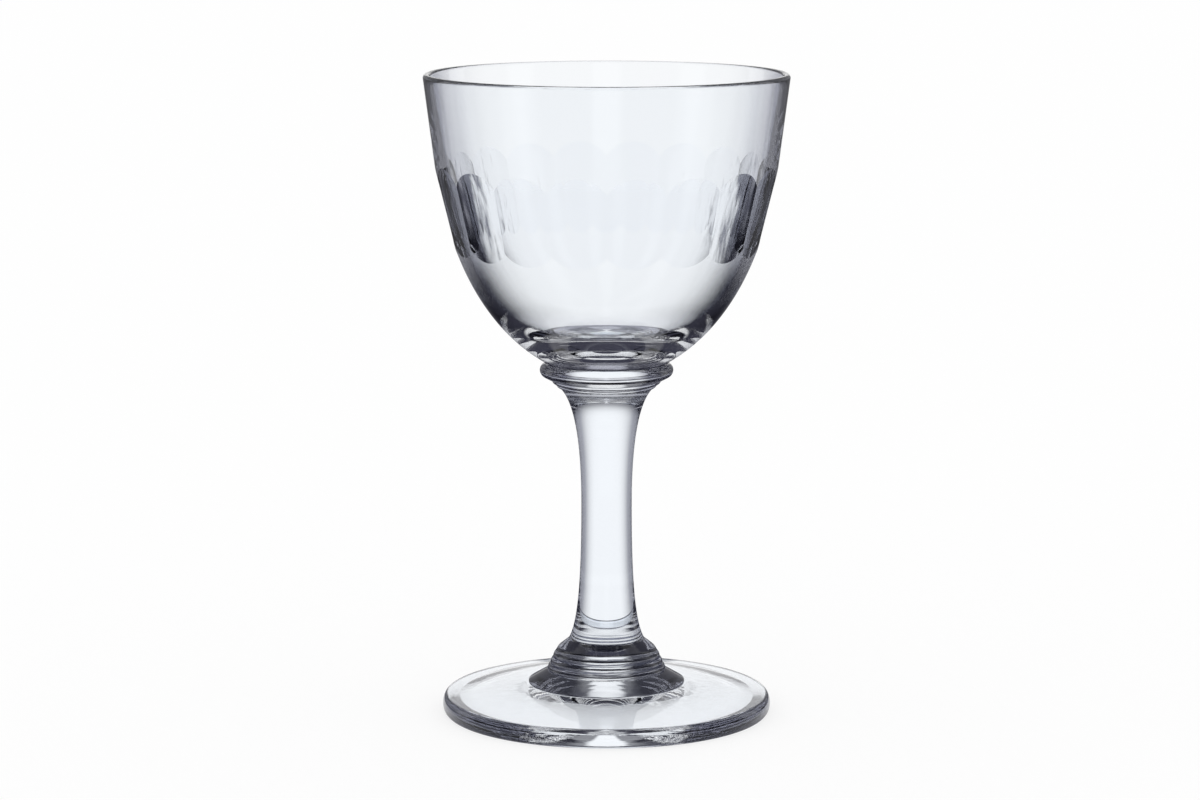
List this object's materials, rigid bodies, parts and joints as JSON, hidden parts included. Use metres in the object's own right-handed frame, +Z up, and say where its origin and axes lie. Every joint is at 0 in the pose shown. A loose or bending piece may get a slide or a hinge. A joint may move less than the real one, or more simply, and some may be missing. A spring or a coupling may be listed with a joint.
{
  "type": "cordial glass",
  "caption": "Small hand-made clear stemmed glass: flared round bowl with a band of upright cuts, collar, solid waisted stem, ringed base knop and round foot.",
  "frame": {"origin": "centre of the plane that the foot rests on", "axes": "+Z up the stem and bowl, which are turned about it; -Y faces the viewer of the picture; +X to the viewer's right"},
  "size_m": [0.062, 0.062, 0.11],
  "materials": {
    "clear_glass": "fire-polished, cuts polished"
  },
  "bodies": {
    "root": {"bowl": "clear_glass", "collar": "clear_glass", "stem": "clear_glass", "base_knop": "clear_glass", "foot": "clear_glass"}
  },
  "joints": []
}
